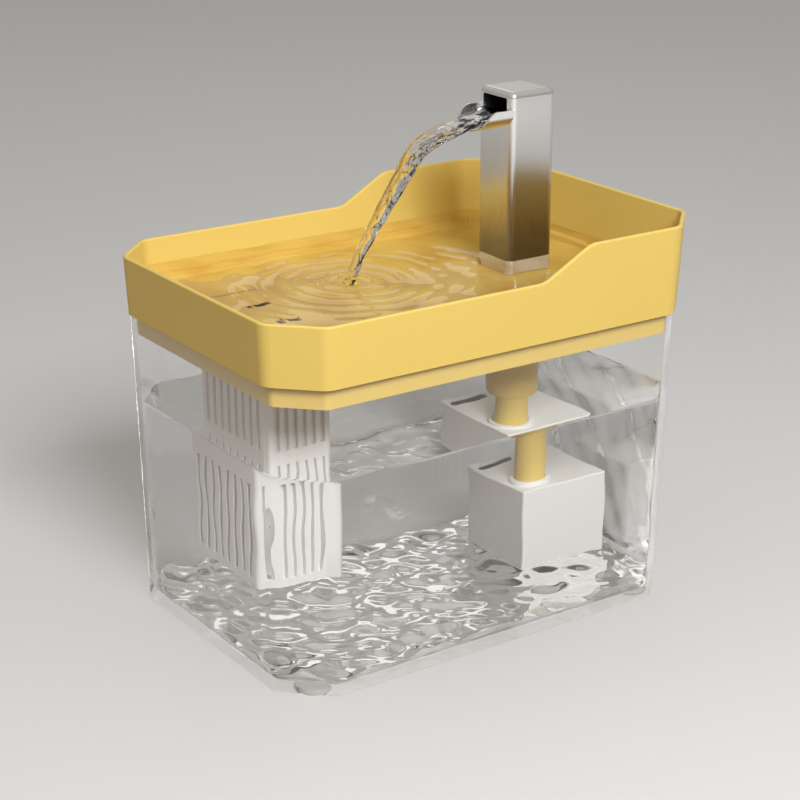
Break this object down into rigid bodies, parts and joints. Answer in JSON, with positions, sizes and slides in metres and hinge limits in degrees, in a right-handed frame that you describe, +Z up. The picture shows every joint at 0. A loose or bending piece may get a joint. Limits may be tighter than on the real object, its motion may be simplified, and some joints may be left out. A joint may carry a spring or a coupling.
{
  "type": "pet water fountain",
  "caption": "Clear water tank with a submerged pump and a hanging slotted filter cage, a sunk yellow drinking tray on its rim, and a square steel tap that pours into the tray.",
  "frame": {"origin": "on the floor under the middle of the fountain's footprint, level with the undersides of its feet", "axes": "+X across the fountain, +Y from the drinking end towards the tap, +Z up"},
  "size_m": [0.1604, 0.2232, 0.234],
  "materials": {
    "tank_plastic": "clear, polished",
    "tray_plastic": "smooth moulded, warm yellow",
    "pump_plastic": "fine satin, white",
    "tap_steel": "brushed",
    "inner_plastic": "satin, black",
    "seal_rubber": "matt, black",
    "foot_rubber": "matt, pale grey",
    "clear_tube": "clear, soft",
    "motor_resin": "potted in black resin",
    "rotor_steel": "ground",
    "magnet_ferrite": "dark, ground",
    "sponge_foam": "open-cell foam, dark grey",
    "pad_fleece": "white fleece",
    "resin_beads": "white fleece bag of amber resin beads",
    "carbon_grains": "white fleece bag of black carbon grains"
  },
  "bodies": {
    "tank": {"tank": "tank_plastic", "foot_pads": "foot_rubber", "cord_grommet": "seal_rubber", "pump_base": "pump_plastic", "suction_cups": "foot_rubber", "pump_motor": "motor_resin", "motor_gland": "seal_rubber", "impeller_chamber": "pump_plastic", "rotor_shaft": "rotor_steel", "shaft_bushes": "seal_rubber", "intake_sponge": "sponge_foam", "outlet_pipe": "tray_plastic"},
    "impeller": {"impeller": "pump_plastic", "magnet_rotor": "magnet_ferrite"},
    "pump_cover": {"pump_cover": "pump_plastic", "pipe_ring": "pump_plastic"},
    "tray": {"tray": "tray_plastic", "outlet_collar": "tray_plastic"},
    "tap": {"tap_column": "tap_steel", "spout_lip": "tap_steel", "tap_plug": "inner_plastic", "tap_gasket": "seal_rubber", "stem_oring": "seal_rubber", "riser_tube": "clear_tube", "spout_liner": "inner_plastic"},
    "filter_cage": {"filter_cage": "pump_plastic"},
    "filter_cassette": {"drain_cap": "tray_plastic", "cassette_frame": "pump_plastic", "lower_pad": "pad_fleece", "resin_pack": "resin_beads", "carbon_pack": "carbon_grains", "upper_pad": "pad_fleece"}
  },
  "joints": [
    {"name": "tray_lift", "type": "slide", "parent": "tank", "child": "tray", "axis": [0, 0, 1], "range_m": [0, 0.15]},
    {"name": "tap_lift", "type": "slide", "parent": "tray", "child": "tap", "axis": [0, 0, 1], "range_m": [0, 0.06]},
    {"name": "cage_lift", "type": "slide", "parent": "tray", "child": "filter_cage", "axis": [0, 0, 1], "range_m": [0, 0.12]},
    {"name": "cassette_lift", "type": "slide", "parent": "filter_cage", "child": "filter_cassette", "axis": [0, 0, 1], "range_m": [0, 0.11]},
    {"name": "pump_cover_lift", "type": "slide", "parent": "tank", "child": "pump_cover", "axis": [0, 0, 1], "range_m": [0, 0.018]},
    {"name": "impeller_spin", "type": "hinge", "parent": "tank", "child": "impeller", "pos_m": [0, 0.061, 0.0221], "axis": [1, 0, 0], "continuous": true}
  ]
}
